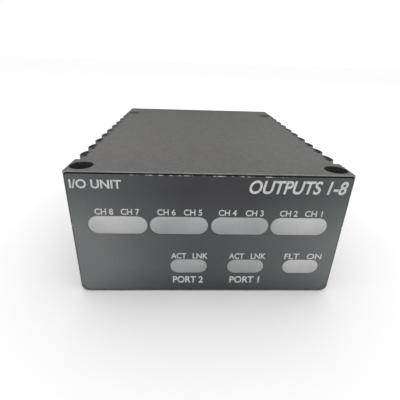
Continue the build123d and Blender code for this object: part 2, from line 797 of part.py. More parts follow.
with BuildPart() as dsub_shell:
    with BuildSketch(facing_front(rear_y)):
        with Locations((0, dsub_z)):
            RectangleRounded(*dsub_flange_size, dsub_flange_corner)
            add(dsub_inside(0), mode=Mode.SUBTRACT)
        with Locations(*dsub_screw_places):
            Circle(screwlock_shank_radius + hole_clearance, mode=Mode.SUBTRACT)
    extrude(amount=-dsub_flange_thickness)
    with BuildSketch(facing_front(rear_y)):
        with Locations((0, dsub_z)):
            add(dsub_outline(*dsub_shell_size))
            add(dsub_inside(0), mode=Mode.SUBTRACT)
    extrude(amount=-(tip_y - rear_y))
    fillet(dsub_shell.edges().group_by(Axis.Y)[-1], dsub_shell_thickness * 0.35)
finish(dsub_shell, "dsub_shell")

dsub_pin_places = []
for row, count in enumerate(dsub_row_counts):
    row_z = dsub_z + (0.5 - row) * dsub_row_spacing
    dsub_pin_places += [((index - (count - 1) / 2) * dsub_pin_pitch, row_z) for index in range(count)]

with BuildPart() as dsub_insulator:
    with BuildSketch(facing_front(rear_y + dsub_flange_thickness)):
        with Locations((0, dsub_z)):
            add(dsub_inside(window_gap))
        with Locations(*dsub_pin_places):
            Circle(dsub_pin_radius, mode=Mode.SUBTRACT)
    extrude(amount=rear_y + dsub_flange_thickness - dsub_block_rear_y)
finish(dsub_insulator, "dsub_insulator")

with BuildPart() as dsub_pins:
    with BuildSketch(facing_front(dsub_tail_y)):
        with Locations(*dsub_pin_places):
            Circle(dsub_pin_radius)
    extrude(amount=-(tip_y - dsub_pin_inset - dsub_tail_y))
    chamfer(dsub_pins.edges().group_by(Axis.Y)[-1], dsub_pin_radius * 0.5)
finish(dsub_pins, "dsub_pins")

screwlock_front_y = rear_y + dsub_flange_thickness
screwlock_tip_y = screwlock_front_y + screwlock_length

with BuildPart() as dsub_screwlocks:
    with BuildSketch(facing_front(screwlock_front_y)):
        with Locations(*dsub_screw_places):
            Circle(screwlock_flats / math.sqrt(3))
    extrude(amount=-screwlock_length)
    chamfer(dsub_screwlocks.edges().group_by(Axis.Y)[-1], screwlock_chamfer)
    with BuildSketch(facing_front(screwlock_front_y)):
        with Locations(*dsub_screw_places):
            RegularPolygon(screwlock_flats / 2, 6, major_radius=False)
    extrude(amount=-screwlock_length, mode=Mode.INTERSECT)
    with BuildSketch(facing_front(screwlock_front_y)):
        with Locations(*dsub_screw_places):
            Circle(screwlock_shank_radius)
    extrude(amount=dsub_flange_thickness + rear_plate_thickness - hole_clearance)
    with BuildSketch(facing_front(screwlock_tip_y)):
        with Locations(*dsub_screw_places):
            Circle(screwlock_bore_radius)
    extrude(amount=screwlock_bore_depth, mode=Mode.SUBTRACT)
finish(dsub_screwlocks, "dsub_screwlocks")

socket_top_z = jack_centre_z + jack_socket_size[1] / 2 + jack_socket_rise
socket_bottom_z = socket_top_z - jack_socket_size[1]
contact_root_y = jack_mouth_y - jack_contact_inset
contact_end_y = jack_mouth_y - jack_contact_reach
contact_middle = (jack_contact_count - 1) / 2
contact_xs = [(index - contact_middle) * jack_contact_pitch for index in range(jack_contact_count)]

for number, jack_x in enumerate(jack_xs, start=1):
    with BuildPart() as shield:
        with BuildSketch(facing_front(jack_mouth_y)):
            with Locations((jack_x, jack_centre_z)):
                Rectangle(*jack_size)
        extrude(amount=jack_depth)
        fillet(shield.edges().filter_by(Axis.Y), jack_shield)
        with BuildSketch(facing_front(jack_mouth_y)):
            with Locations((jack_x, jack_centre_z)):
                Rectangle(jack_size[0] - 2 * jack_shield, jack_size[1] - 2 * jack_shield)
        extrude(amount=jack_depth - jack_shield, mode=Mode.SUBTRACT)
    finish(shield, f"jack_{number}_shield")

    with BuildPart() as insert:
        with BuildSketch(facing_front(jack_mouth_y - jack_shield)):
            with Locations((jack_x, jack_centre_z)):
                Rectangle(
                    jack_size[0] - 2 * (jack_shield + window_gap),
                    jack_size[1] - 2 * (jack_shield + window_gap),
                )
        extrude(amount=jack_depth - 3 * jack_shield)
        with BuildSketch(facing_front(jack_mouth_y - jack_shield)):
            with Locations((jack_x, socket_top_z)):
                Rectangle(*jack_socket_size, align=(Align.CENTER, Align.MAX))
            with Locations((jack_x, socket_bottom_z + jack_latch_overlap)):
                Rectangle(*jack_latch_size, align=(Align.CENTER, Align.MAX))
        extrude(amount=jack_socket_depth, mode=Mode.SUBTRACT)
    finish(insert, f"jack_{number}_insert")

    with BuildPart() as contacts:
        for x in contact_xs:
            with BuildSketch(Plane.YZ.offset(jack_x + x - jack_contact_size[0] / 2)):
                with BuildLine():
                    Polyline(
                        (contact_root_y, socket_top_z),
                        (contact_root_y - jack_contact_root, socket_top_z),
                        (contact_end_y, socket_top_z - jack_contact_dip + jack_contact_size[1]),
                        (contact_end_y, socket_top_z - jack_contact_dip),
                        close=True,
                    )
                make_face()
            extrude(amount=jack_contact_size[0])
    finish(contacts, f"jack_{number}_contacts")

with BuildPart() as power_header:
    with BuildSketch(facing_front(jack_mouth_y)):
        with Locations((power_header_x, power_header_z)):
            Rectangle(*power_header_size)
    extrude(amount=power_header_depth)
    chamfer(power_header.edges().filter_by(Axis.Y), power_header_chamfer)
    with BuildSketch(facing_front(jack_mouth_y)):
        with Locations((power_header_x, power_header_z)):
            Rectangle(*[side - 2 * power_header_wall for side in power_header_size])
        with Locations((power_header_x, power_header_z + power_header_size[1] / 2 - power_header_wall)):
            Rectangle(power_key_width, power_header_wall)
    extrude(amount=power_socket_depth, mode=Mode.SUBTRACT)
    with BuildSketch(facing_front(jack_mouth_y)):
        with Locations((power_header_x, power_header_z)):
            with GridLocations(power_pin_pitch, 0, 3, 1):
                Rectangle(power_pin_side, power_pin_side)
    extrude(amount=power_header_depth, mode=Mode.SUBTRACT)
finish(power_header, "power_header")

with BuildPart() as power_pins:
    for index in (-1, 0, 1):
        pin_x = power_header_x + index * power_pin_pitch
        with BuildSketch(Plane.YZ.offset(pin_x - power_pin_side / 2)):
            with Locations((jack_mouth_y - power_pin_inset, power_header_z)):
                Rectangle(power_header_depth, power_pin_side, align=(Align.MAX, Align.CENTER))
            with Locations((jack_mouth_y - power_pin_inset - power_header_depth, processor_top_z)):
                Rectangle(
                    power_pin_side,
                    power_header_z - processor_top_z + power_pin_side / 2,
                    align=(Align.MIN, Align.MIN),
                )
        extrude(amount=power_pin_side)
finish(power_pins, "power_pins")

# Each stud carries a washer and a nut, threaded onto it from behind.
washer_front_y = rear_y + stack_gap
nut_front_y = washer_front_y + washer_thickness + stack_gap

for side, place in (("left", stud_places[0]), ("right", stud_places[1])):
    with BuildPart() as stud:
        with BuildSketch(facing_front(cavity_rear_y)):
            with Locations(place):
                Circle(stud_head_radius)
        extrude(amount=stud_head_thickness)
        with BuildSketch(facing_front(cavity_rear_y)):
            with Locations(place):
                Circle(stud_radius)
        extrude(amount=-(tip_y - cavity_rear_y))
        chamfer(stud.edges().group_by(Axis.Y)[-1], stud_tip_chamfer)
    finish(stud, f"mounting_stud_{side}")

    with BuildPart() as washer:
        with BuildSketch(facing_front(washer_front_y)):
            with Locations(place):
                Circle(washer_outer_radius)
                Circle(washer_bore_radius, mode=Mode.SUBTRACT)
        extrude(amount=-washer_thickness)
    finish(washer, f"stud_washer_{side}")

    with BuildPart() as nut:
        with BuildSketch(facing_front(nut_front_y)):
            with Locations(place):
                Circle(nut_flats / math.sqrt(3) - nut_corner_cut)
        extrude(amount=-nut_thickness)
        chamfer(nut.edges(), nut_chamfer)
        with BuildSketch(facing_front(nut_front_y)):
            with Locations(place):
                RegularPolygon(nut_flats / 2, 6, major_radius=False)
                Circle(nut_bore_radius, mode=Mode.SUBTRACT)
        extrude(amount=-nut_thickness, mode=Mode.INTERSECT)
    finish(nut, f"stud_nut_{side}")
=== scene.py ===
import json
import math
import random

import bmesh
import bpy
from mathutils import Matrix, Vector


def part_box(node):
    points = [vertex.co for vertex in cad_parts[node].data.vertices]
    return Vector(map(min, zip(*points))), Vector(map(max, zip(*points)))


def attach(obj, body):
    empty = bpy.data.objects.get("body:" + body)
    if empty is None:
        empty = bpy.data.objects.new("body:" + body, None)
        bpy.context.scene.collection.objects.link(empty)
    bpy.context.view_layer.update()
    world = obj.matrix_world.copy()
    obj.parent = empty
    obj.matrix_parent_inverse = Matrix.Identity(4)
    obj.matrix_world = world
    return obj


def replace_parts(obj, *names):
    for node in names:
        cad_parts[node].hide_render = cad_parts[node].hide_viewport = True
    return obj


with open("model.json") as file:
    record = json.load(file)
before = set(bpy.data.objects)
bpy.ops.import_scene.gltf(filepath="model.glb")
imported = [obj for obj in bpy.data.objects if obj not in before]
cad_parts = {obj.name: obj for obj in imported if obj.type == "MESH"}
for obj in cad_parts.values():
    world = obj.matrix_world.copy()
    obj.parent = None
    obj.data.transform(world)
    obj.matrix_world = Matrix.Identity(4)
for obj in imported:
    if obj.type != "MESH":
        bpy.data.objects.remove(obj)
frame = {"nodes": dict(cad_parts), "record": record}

# Blender units are metres, in the same frame as the CAD: X across the label face, Y back, Z up.
MM = 0.001
SLOT_OF = {part["node"]: part["material_slot"] for part in frame["record"]["subparts"]}
SEED = 7
# Ribs of the case, measured from its front: round in plan, at an even pitch.
RIB_START = 12.5 * MM
RIB_PITCH = 8.9 * MM
RIB_COUNT = 9
RIB_RADIUS = 4.05 * MM
# Radius of the deep screw holes in the case, a hair over the drawn one, so that their walls count as inside.
HOLE_REACH = 3.43 * MM
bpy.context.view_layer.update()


# ---- Solids of the frame ------------------------------------------------------------------------

def solids(node):
    """The lowest and highest corner of every separate solid in a CAD node."""
    mesh = frame["nodes"][node].data
    keys = [tuple(round(value, 7) for value in v.co) for v in mesh.vertices]
    parent = {key: key for key in keys}

    def root(key):
        while parent[key] != key:
            parent[key] = parent[parent[key]]
            key = parent[key]
        return key

    for edge in mesh.edges:
        parent[root(keys[edge.vertices[0]])] = root(keys[edge.vertices[1]])
    groups = {}
    for key in set(keys):
        groups.setdefault(root(key), []).append(key)
    boxes = [(Vector(map(min, zip(*group))), Vector(map(max, zip(*group)))) for group in groups.values()]
    return sorted(boxes, key=lambda box: (round(box[0].y, 4), round(box[0].x, 4)))


# ---- Material graphs ----------------------------------------------------------------------------

class Graph:
    """A material with one Principled shader, and short ways to add the nodes that drive it."""

    def __init__(self, name, **sockets):
        self.material = bpy.data.materials.new(name)
        self.material.use_nodes = True
        self.tree = self.material.node_tree
        self.shader = self.tree.nodes["Principled BSDF"]
        for socket, value in sockets.items():
            self.shader.inputs[socket.replace("_", " ")].default_value = value

    def node(self, kind, **settings):
        made = self.tree.nodes.new("ShaderNode" + kind)
        for key, value in settings.items():
            setattr(made, key, value)
        return made

    def link(self, source, target):
        self.tree.links.new(source, target)

    def place(self):
        """The point on the object, in metres in the row frame."""
        return self.node("TexCoord").outputs["Object"]

    def scaled(self, factors):
        """The point on the object, stretched along each axis."""
        mapping = self.node("Mapping")
        self.link(self.place(), mapping.inputs["Vector"])
        mapping.inputs["Scale"].default_value = factors
        return mapping.outputs["Vector"]

    def axis(self, name):
        """One coordinate of the point on the object, in metres."""
        split = self.node("SeparateXYZ")
        self.link(self.place(), split.inputs[0])
        return split.outputs[name]

    def noise(self, scale, detail=2.0, roughness=0.5, vector=None):
        """Cloudy noise between 0 and 1, mostly between 0.3 and 0.7."""
        made = self.node("TexNoise")
        self.link(vector or self.place(), made.inputs["Vector"])
        made.inputs["Scale"].default_value = scale
        made.inputs["Detail"].default_value = detail
        made.inputs["Roughness"].default_value = roughness
        return made.outputs["Fac"]

    def cells(self, scale):
        """The distance to the nearest of many scattered points."""
        made = self.node("TexVoronoi")
        self.link(self.place(), made.inputs["Vector"])
        made.inputs["Scale"].default_value = scale
        return made.outputs["Distance"]

    def remap(self, value, low, high, to_low=0.0, to_high=1.0):
        """Carries a value from one range to another, and holds it there."""
        made = self.node("MapRange")
        self.link(value, made.inputs["Value"])
        for socket, number in zip(("From Min", "From Max", "To Min", "To Max"), (low, high, to_low, to_high)):
            made.inputs[socket].default_value = number
        return made.outputs["Result"]

    def varied(self, scale, detail, low, high, roughness=0.5):
        """Noise of a given scale, spread over a range of values."""
        return self.remap(self.noise(scale, detail, roughness), 0.3, 0.7, low, high)

    def math(self, operation, a, b=0.0):
        """One sum on two values, each a number or an output."""
        made = self.node("Math", operation=operation)
        for socket, value in zip(made.inputs, (a, b)):
            if isinstance(value, (int, float)):
                socket.default_value = value
            else:
                self.link(value, socket)
        return made.outputs[0]

    def product(self, first, *others):
        """Several values multiplied together."""
        for other in others:
            first = self.math("MULTIPLY", first, other)
        return first

    def total(self, first, *others):
        """Several values added together."""
        for other in others:
            first = self.math("ADD", first, other)
        return first

    def within(self, centre, radius):
        """1 inside an upright cylinder about a point, and 0 outside it."""
        level = self.node("VectorMath", operation="MULTIPLY")
        self.link(self.place(), level.inputs[0])
        level.inputs[1].default_value = (1.0, 1.0, 0.0)
        away = self.node("VectorMath", operation="DISTANCE")
        self.link(level.outputs[0], away.inputs[0])
        away.inputs[1].default_value = (centre.x, centre.y, 0.0)
        return self.math("LESS_THAN", away.outputs["Value"], radius)

    def mix(self, factor, a, b, blend="MIX"):
        """Mixes two colours, each a triple or an output."""
        made = self.node("Mix", data_type="RGBA", blend_type=blend)
        for socket, value in ((made.inputs[0], factor), (made.inputs[6], a), (made.inputs[7], b)):
            if isinstance(value, (int, float)):
                socket.default_value = value
            elif isinstance(value, tuple):
                socket.default_value = (*value, 1.0)
            else:
                self.link(value, socket)
        return made.outputs[2]

    def shaded(self, colour, factor):
        """A colour made darker or paler by a value."""
        return self.mix(1.0, colour, factor, "MULTIPLY")

    def edges(self, radius, low, high):
        """1 on edges sharper than the radius and 0 on flat ground, from the rounded normal."""
        bevel = self.node("Bevel", samples=6)
        bevel.inputs["Radius"].default_value = radius
        dot = self.node("VectorMath", operation="DOT_PRODUCT")
        self.link(bevel.outputs[0], dot.inputs[0])
        self.link(self.node("NewGeometry").outputs["Normal"], dot.inputs[1])
        return self.remap(dot.outputs["Value"], low, high, 1.0, 0.0)

    def crevice(self, distance):
        """1 on open ground, falling towards 0 where the surface is shut in."""
        shut_in = self.node("AmbientOcclusion", samples=8)
        shut_in.inputs["Distance"].default_value = distance
        return shut_in.outputs["AO"]

    def colour(self, output):
        self.link(output, self.shader.inputs["Base Color"])

    def roughness(self, output):
        self.link(output, self.shader.inputs["Roughness"])

    def bump(self, height, distance, strength=1.0, round_edges=0.0):
        """Raises the surface by a height map, over a normal that rounds sharp edges off."""
        bump = self.node("Bump")
        bump.inputs["Distance"].default_value = distance
        bump.inputs["Strength"].default_value = strength
        self.link(height, bump.inputs["Height"])
        if round_edges:
            bevel = self.node("Bevel", samples=6)
            bevel.inputs["Radius"].default_value = round_edges
            self.link(bevel.outputs[0], bump.inputs["Normal"])
        self.link(bump.outputs[0], self.shader.inputs["Normal"])


def tinted(colour, factor):
    """A colour triple made darker or paler."""
    return tuple(channel * factor for channel in colour)


# ---- Materials ----------------------------------------------------------------------------------

def painted_rib_end_shade(g, low, high, off_middle):
    """1 in a crescent of painted shade on the top end of every rib, where its rounded end turns away from the
    light, fainter on the ribs further back.
    """
    first = low.y + RIB_START
    in_pitch = g.math("MODULO", g.math("SUBTRACT", g.axis("Y"), first), RIB_PITCH)
    behind_axis = g.math("SUBTRACT", in_pitch, RIB_PITCH / 2 + 0.1 * MM)
    beyond_axis = g.math("SUBTRACT", off_middle, high.x - RIB_RADIUS)
    squares = g.total(g.product(behind_axis, behind_axis), g.product(beyond_axis, beyond_axis))
    from_axis = g.math("SQRT", squares)
    return g.product(
        # Round the rib's rim, outside the broad face, and not in its rear quarter.
        g.remap(from_axis, RIB_RADIUS - 3.1 * MM, RIB_RADIUS - 2.2 * MM),
        g.remap(from_axis, RIB_RADIUS + 0.2 * MM, RIB_RADIUS - 0.35 * MM),
        g.remap(off_middle, 38.3 * MM, 39.1 * MM),
        g.remap(behind_axis, 2.6 * MM, 1.2 * MM),
        # On the top of the ribs, from the first to the last.
        g.remap(g.axis("Z"), high.z - 3.2 * MM, high.z - 1.6 * MM),
        g.math("GREATER_THAN", g.axis("Y"), first),
        g.math("LESS_THAN", g.axis("Y"), first + RIB_COUNT * RIB_PITCH),
        g.remap(g.axis("Y"), first + 2 * RIB_PITCH, high.y, 0.97, 0.3),
    )


def case_paint():
    """Matt grey paint: fine sprayed texture, faint blotches, rubbed edges, painted light and shade across the
    top, painted shade on the rib ends, in recesses and in the front screw holes, and a painted highlight
    along the lip.
    """
    grey, warm, rubbed = (0.104, 0.104, 0.101), (0.104, 0.101, 0.093), (0.21, 0.21, 0.205)
    low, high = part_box("top_cover")
    g = Graph("case_paint", Roughness=0.66, Specular_IOR_Level=0.2)
    off_middle = g.math("ABSOLUTE", g.axis("X"))
    base = g.mix(g.remap(g.noise(38, 3), 0.38, 0.64), grey, warm)
    # Painted light and shade: paler towards the front and at the sides, darker towards the back and along the
    # middle.
    base = g.shaded(base, g.remap(g.axis("Y"), low.y + 20 * MM, high.y, 1.08, 0.72))
    base = g.shaded(base, g.remap(off_middle, 6 * MM, 34 * MM, 0.93, 1.03))
    base = g.shaded(base, g.varied(190, 3, 0.95, 1.05))
    base = g.shaded(base, g.varied(2300, 3, 0.80, 1.20, 0.7))
    rib_end_shade = painted_rib_end_shade(g, low, high, off_middle)
    # Painted shade: the rounded rib ends darkened to a near black grey.
    base = g.mix(rib_end_shade, base, tinted(grey, 0.13))
    # Painted shade: darker in recesses, creases and gaps, from the ambient occlusion.
    base = g.shaded(base, g.remap(g.crevice(5 * MM), 0.2, 0.7, 0.14, 1.0))
    # Painted shade in the deep screw holes: the front pair is painted near black, and the rear pair a pale
    # grey.
    front_hole_shade, rear_hole_grey = (0.005, 0.009, 0.009), (0.20, 0.21, 0.19)
    for hole_low, hole_high in solids("case_screws"):
        in_hole = g.math("MULTIPLY", g.within((hole_low + hole_high) / 2, HOLE_REACH), 0.7)
        base = g.mix(in_hole, base, front_hole_shade if hole_low.y < 0 else rear_hole_grey)
    worn = g.product(g.edges(0.3 * MM, 0.90, 0.985), g.remap(g.noise(700, 4, 0.7), 0.36, 0.56),
                     g.remap(rib_end_shade, 0.0, 1.0, 0.7, 0.2))
    # The thin lip over the label carries a painted highlight along its whole length, broken in places like
    # rubbed paint.
    lip_highlight_and_wear = g.product(g.remap(g.axis("Y"), low.y + 0.55 * MM, low.y + 0.15 * MM),
                    g.remap(g.axis("Z"), high.z - 0.5 * MM, high.z - 0.3 * MM),
                    g.remap(g.noise(500, 3, 0.7), 0.35, 0.6, 0.5, 1.0))
    base = g.mix(lip_highlight_and_wear, base, (0.235, 0.24, 0.24))
    g.colour(g.mix(worn, base, rubbed))
    g.roughness(g.math("MAXIMUM", g.varied(600, 3, 0.58, 0.74), rib_end_shade))
    g.bump(g.noise(2400, 4, 0.65), 0.05 * MM, 0.55, 0.25 * MM)
    return g.material


def label_film():
    """Dark printed film with a painted reflection, paler at its sides and across the middle, and knocked
    white along its top.
    """
    dark, pale, chipped = (0.036, 0.036, 0.039), (0.132, 0.146, 0.145), (0.50, 0.51, 0.50)
    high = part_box("label_overlay")[1]
    g = Graph("label_film", Roughness=0.45, Specular_IOR_Level=0.25)
    # Painted reflection: the film is paler at its sides, more so at the left, across the middle and towards
    # its lower left corner, and darkest at its top middle.
    across = g.math("DIVIDE", g.axis("X"), high.x)
    side = g.product(across, across)
    band = g.product(g.remap(g.axis("Z"), 36 * MM, 21 * MM), g.remap(g.axis("Z"), -3 * MM, 9 * MM))
    corner = g.product(g.remap(across, -0.35, -1.0), g.remap(g.axis("Z"), 28 * MM, 12 * MM))
    ramp = g.total(
        g.product(side, 0.41), g.product(band, 0.29), g.product(side, band, 0.30), g.product(corner, 0.22),
        g.remap(across, -0.2, -0.75, 0.0, 0.13), g.varied(90, 2, -0.03, 0.03),
    )
    base = g.mix(g.math("MINIMUM", g.math("MAXIMUM", ramp, 0.0), 1.0), dark, pale)
    base = g.shaded(base, g.varied(2300, 3, 0.84, 1.16, 0.7))
    # Short chips in the top edge, along its middle, where the film has been knocked.
    chips = g.product(
        g.remap(g.noise(1.0, 4, 0.7, vector=g.scaled((520, 0, 300))), 0.50, 0.60),
        g.remap(g.axis("X"), -26 * MM, -22 * MM), g.remap(g.axis("X"), 24 * MM, 20 * MM),
        g.remap(g.axis("Z"), high.z - 0.22 * MM, high.z - 0.14 * MM),
    )
    g.colour(g.mix(chips, base, chipped))
    g.roughness(g.varied(900, 3, 0.40, 0.52))
    g.bump(g.noise(3000, 3, 0.6), 0.02 * MM, 0.5)
    return g.material


def lens_plastic():
    """Milky translucent plastic: cloudy, with painted shade at each window's foot, whiter in the outer
    windows.
    """
    inner, outer = (0.325, 0.330, 0.335), (0.450, 0.455, 0.452)
    g = Graph("lens_plastic", Roughness=0.36, Coat_Weight=0.1,
              Subsurface_Weight=0.15, Subsurface_Scale=1.2 * MM)
    g.shader.inputs["Subsurface Radius"].default_value = (1.0, 1.0, 1.0)
    base = g.mix(g.remap(g.math("ABSOLUTE", g.axis("X")), 15 * MM, 28 * MM), inner, outer)
    # The middle of either row of windows is 10 mm above a whole number of row steps.
    row_step = 15 * MM
    in_row = g.math("MODULO", g.axis("Z"), row_step)
    # Painted shade: each window darker at its foot and paler at its top, as if lit from above.
    base = g.shaded(base, g.remap(in_row, 7.2 * MM, 12.4 * MM, 0.80, 1.06))
    base = g.shaded(base, g.varied(120, 2, 0.93, 1.07))
    g.colour(g.shaded(base, g.varied(1800, 2, 0.96, 1.04)))
    g.roughness(g.varied(700, 2, 0.30, 0.42))
    g.bump(g.noise(1200, 2), 0.01 * MM, 0.4)
    return g.material


def moulded(name, colour, roughness=0.5, grain=0.03):
    """Moulded plastic: fine spark grain and a slight unevenness of tone."""
    g = Graph(name, Roughness=roughness)
    tone = g.remap(g.noise(260, 3), 0.3, 0.7)
    base = g.mix(tone, tinted(colour, 0.88), tinted(colour, 1.12))
    rubbed = g.edges(0.15 * MM, 0.90, 0.99)
    g.colour(g.mix(g.math("MULTIPLY", rubbed, 0.35), base, tinted(colour, 1.9)))
    g.roughness(g.varied(1500, 3, roughness - 0.08, roughness + 0.08))
    g.bump(g.noise(4200, 3, 0.6), grain * MM, 0.5, 0.08 * MM)
    return g.material


def brushed(name, colour, roughness, lines):
    """Metal with a directional grain along one axis, and dull patches."""
    g = Graph(name, Metallic=1.0, Roughness=roughness)
    grain = g.noise(1.0, 4, 0.7, vector=g.scaled(lines))
    smudge = g.remap(g.noise(140, 3), 0.35, 0.7)
    base = g.mix(g.remap(grain, 0.3, 0.7), tinted(colour, 0.86), tinted(colour, 1.08))
    g.colour(g.mix(g.math("MULTIPLY", smudge, 0.25), base, tinted(colour, 0.7)))
    g.roughness(g.remap(grain, 0.3, 0.7, roughness - 0.08, roughness + 0.08))
    g.bump(grain, 0.012 * MM, 0.4, 0.12 * MM)
    return g.material


def plated(name, colour, roughness):
    """Small plated or coated metal piece: satin, with a mottled film."""
    g = Graph(name, Metallic=1.0, Roughness=roughness)
    film = g.remap(g.noise(200, 2), 0.3, 0.7)
    g.colour(g.mix(film, tinted(colour, 0.95), tinted(colour, 1.03)))
    g.roughness(g.varied(300, 2, roughness - 0.03, roughness + 0.05))
    g.bump(g.noise(600, 2), 0.002 * MM, 0.2, 0.1 * MM)
    return g.material


def board_green():
    """Solder mask over glass cloth: a deep green gloss with a faint weave and copper areas beneath."""
    g = Graph("board_green", Roughness=0.3, Coat_Weight=0.3, Coat_Roughness=0.2)
    mask, copper = (0.008, 0.075, 0.030), (0.018, 0.125, 0.050)
    areas = g.remap(g.cells(65), 0.44, 0.47)
    base = g.mix(g.math("MULTIPLY", areas, 0.55), mask, copper)
    weave = g.math("MULTIPLY", g.noise(1.0, 0, vector=g.scaled((2200, 300, 300))),
                   g.noise(1.0, 0, vector=g.scaled((300, 2200, 300))))
    g.colour(g.shaded(base, g.remap(weave, 0.1, 0.4, 0.9, 1.1)))
    g.roughness(g.varied(500, 3, 0.24, 0.36))
    g.bump(weave, 0.02 * MM, 0.5)
    return g.material


MATERIALS = {
    "case_paint": case_paint(),
    "label_film": label_film(),
    "lens_plastic": lens_plastic(),
    "board_green": board_green(),
    "dark_plastic": moulded("dark_plastic", (0.035, 0.035, 0.038)),
    "black_plastic": moulded("black_plastic", (0.016, 0.016, 0.018), 0.42),
    "green_plastic": moulded("green_plastic", (0.025, 0.20, 0.07), 0.4),
    "lamp_white": moulded("lamp_white", (0.72, 0.72, 0.60), 0.25, 0.01),
    "chip_black": moulded("chip_black", (0.022, 0.022, 0.024), 0.55, 0.05),
    "ferrite_grey": moulded("ferrite_grey", (0.070, 0.070, 0.074), 0.6, 0.06),
    "relay_white": moulded("relay_white", (0.62, 0.60, 0.54), 0.4),
    "thermal_rubber": moulded("thermal_rubber", (0.30, 0.36, 0.42), 0.7, 0.05),
    "capacitor_sleeve": brushed("capacitor_sleeve", (0.72, 0.72, 0.74), 0.32, (250, 250, 2500)),
    "heat_sink_aluminium": brushed("heat_sink_aluminium", (0.035, 0.035, 0.038), 0.45, (2600, 200, 2600)),
    "plate_aluminium": brushed("plate_aluminium", (0.56, 0.57, 0.58), 0.36, (120, 2600, 3200)),
    "bright_steel": plated("bright_steel", (0.60, 0.60, 0.58), 0.3),
    "dark_steel": plated("dark_steel", (0.035, 0.035, 0.036), 0.42),
    "tinned_steel": plated("tinned_steel", (0.66, 0.66, 0.63), 0.26),
    "gold_contact": plated("gold_contact", (0.80, 0.56, 0.20), 0.24),
    "brass": plated("brass", (0.62, 0.43, 0.16), 0.34),
}

for name, node in frame["nodes"].items():
    node.data.materials.clear()
    node.data.materials.append(MATERIALS[SLOT_OF[name]])


# ---- Label printing -----------------------------------------------------------------------------

LABEL_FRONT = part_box("label_overlay")[0].y
INK_THICKNESS = 0.02 * MM


def printed_white():
    """White screen ink, a little thin in places."""
    g = Graph("printed_white", Roughness=0.55)
    g.colour(g.mix(g.remap(g.noise(900, 3), 0.3, 0.7), (0.42, 0.43, 0.43), (0.56, 0.57, 0.57)))
    g.bump(g.noise(2600, 2), 0.01 * MM, 0.4)
    return g.material


INK = printed_white()


def lettering(name, words, left, right, bottom, top, bold, slant=0.0):
    """Printed words on the label face, fitted to a box given in millimetres."""
    curve = bpy.data.curves.new(name, "FONT")
    curve.body = words
    curve.extrude = 0.5
    curve.offset = bold
    curve.shear = slant
    text = bpy.data.objects.new(name + "_text", curve)
    bpy.context.scene.collection.objects.link(text)
    bpy.context.view_layer.update()
    mesh = bpy.data.meshes.new_from_object(text.evaluated_get(bpy.context.evaluated_depsgraph_get()))
    bpy.data.objects.remove(text)
    mesh.name = name
    low = [min(v.co[i] for v in mesh.vertices) for i in range(2)]
    high = [max(v.co[i] for v in mesh.vertices) for i in range(2)]
    for v in mesh.vertices:
        x = left + (v.co.x - low[0]) / (high[0] - low[0]) * (right - left)
        z = bottom + (v.co.y - low[1]) / (high[1] - low[1]) * (top - bottom)
        v.co = (x * MM, LABEL_FRONT - v.co.z * INK_THICKNESS, z * MM)
    mesh.materials.clear()
    mesh.materials.append(INK)
    word = bpy.data.objects.new(name, mesh)
    bpy.context.scene.collection.objects.link(word)
    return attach(word, "root")


# Weights of the strokes. In millimetres: bottom and top of each row of words, and the words' widths.
HEAVY, FAIRLY_HEAVY, LIGHT = 0.024, 0.022, 0.018
CHANNEL_ROW, LAMP_ROW, PORT_ROW = (28.5, 30.5), (13.0, 15.1), (3.3, 6.0)
CHANNEL_WORD_HALF = 2.7
LAMP_WORD_HALF = 2.4
PORT_WORD_WIDTH = 9.9

lettering("print_function", "OUTPUTS 1-8", 10.9, 39.6, 35.8, 40.0, FAIRLY_HEAVY, slant=0.2)
lettering("print_kind", "I/O UNIT", -39.8, -25.4, 36.8, 39.5, FAIRLY_HEAVY)

# Channel numbers over the wide windows, from eight at the left to one at the right.
CHANNEL_WORD_XS = (-31.1, -23.5, -12.9, -5.1, 5.2, 13.3, 23.6, 31.2)
for index, centre in enumerate(CHANNEL_WORD_XS):
    number = len(CHANNEL_WORD_XS) - index
    left, right = centre - CHANNEL_WORD_HALF, centre + CHANNEL_WORD_HALF
    lettering(f"print_channel_{number}", f"CH {number}", left, right, *CHANNEL_ROW, LIGHT)

# Lamp words over the narrow windows, and port numbers under the first two.
LAMP_WORDS = [
    ("act_2", "ACT", -9.3), ("link_2", "LNK", -2.5), ("act_1", "ACT", 9.1), ("link_1", "LNK", 16.1),
    ("fault", "FLT", 27.0), ("power", "ON", 34.3),
]
for name, words, centre in LAMP_WORDS:
    left, right = centre - LAMP_WORD_HALF, centre + LAMP_WORD_HALF
    lettering(f"print_{name}", words, left, right, *LAMP_ROW, LIGHT)
for number, left in ((2, -11.2), (1, 7.5)):
    lettering(f"print_port_{number}", f"PORT {number}", left, left + PORT_WORD_WIDTH, *PORT_ROW, HEAVY)


# ---- Small solids -------------------------------------------------------------------------------

def finish_piece(name, bm, slot, body="root", smooth=False, material=None):
    """Turns a bmesh of closed solids into one piece that rides on a body."""
    bmesh.ops.recalc_face_normals(bm, faces=bm.faces)
    mesh = bpy.data.meshes.new(name)
    bm.to_mesh(mesh)
    bm.free()
    mesh.materials.append(material or MATERIALS[slot])
    mesh.polygons.foreach_set("use_smooth", [smooth] * len(mesh.polygons))
    piece = bpy.data.objects.new(name, mesh)
    bpy.context.scene.collection.objects.link(piece)
    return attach(piece, body)


def upright(u, v, h):
    """Puts an outline on a level surface, with its thickness upwards."""
    return (u, v, h)


